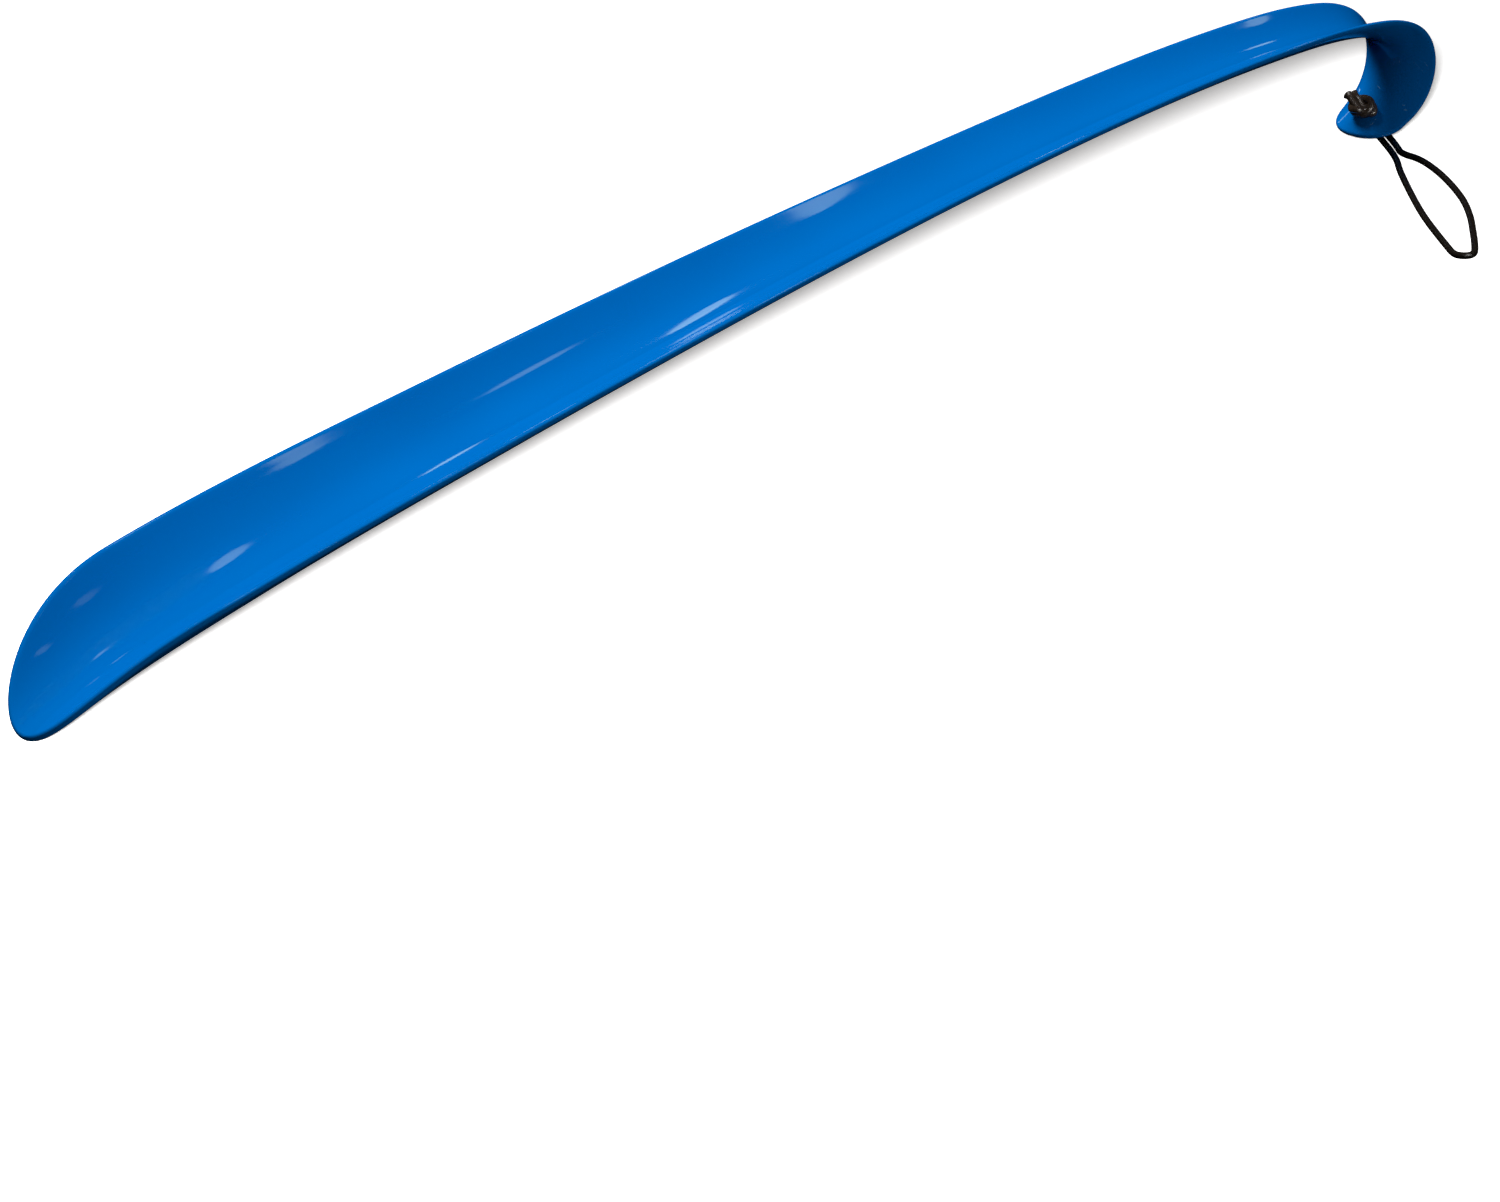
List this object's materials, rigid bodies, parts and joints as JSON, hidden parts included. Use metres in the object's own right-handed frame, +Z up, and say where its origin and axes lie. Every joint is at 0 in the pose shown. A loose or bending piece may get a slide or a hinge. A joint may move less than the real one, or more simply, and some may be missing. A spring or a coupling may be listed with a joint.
{
  "type": "long-handled shoehorn",
  "caption": "Long glossy plastic shoehorn with a troughed blade and shaft, a curled hook at the top and a knotted black hanging cord.",
  "frame": {"origin": "on the surface the shoehorn lies on, under the middle of its length and width, measured without the cord", "axes": "+X from the blade's tip to the hook, +Y across the blade, +Z up out of the trough"},
  "size_m": [0.6086, 0.123, 0.0568],
  "materials": {
    "blue_plastic": "glossy injection-moulded polypropylene",
    "black_cord": "waxed round braided cord"
  },
  "bodies": {
    "shoehorn": {"shoehorn_body": "blue_plastic"},
    "knot": {"cord_knot": "black_cord"},
    "cord": {"hanging_cord": "black_cord"}
  },
  "joints": [
    {"name": "cord_sweep", "type": "hinge", "parent": "shoehorn", "child": "cord", "pos_m": [0.2851, 0, 0.009], "axis": [0, 0, 1], "range_deg": [0, 20]},
    {"name": "knot_turn", "type": "hinge", "parent": "shoehorn", "child": "knot", "pos_m": [0.28392, 0, 0.01082], "axis": [-0.5422, 0, 0.8403], "range_deg": [0, 20]}
  ],
  "couplings": [
    {"joint": "knot_turn", "follows": "cord_sweep", "ratio": 1}
  ]
}
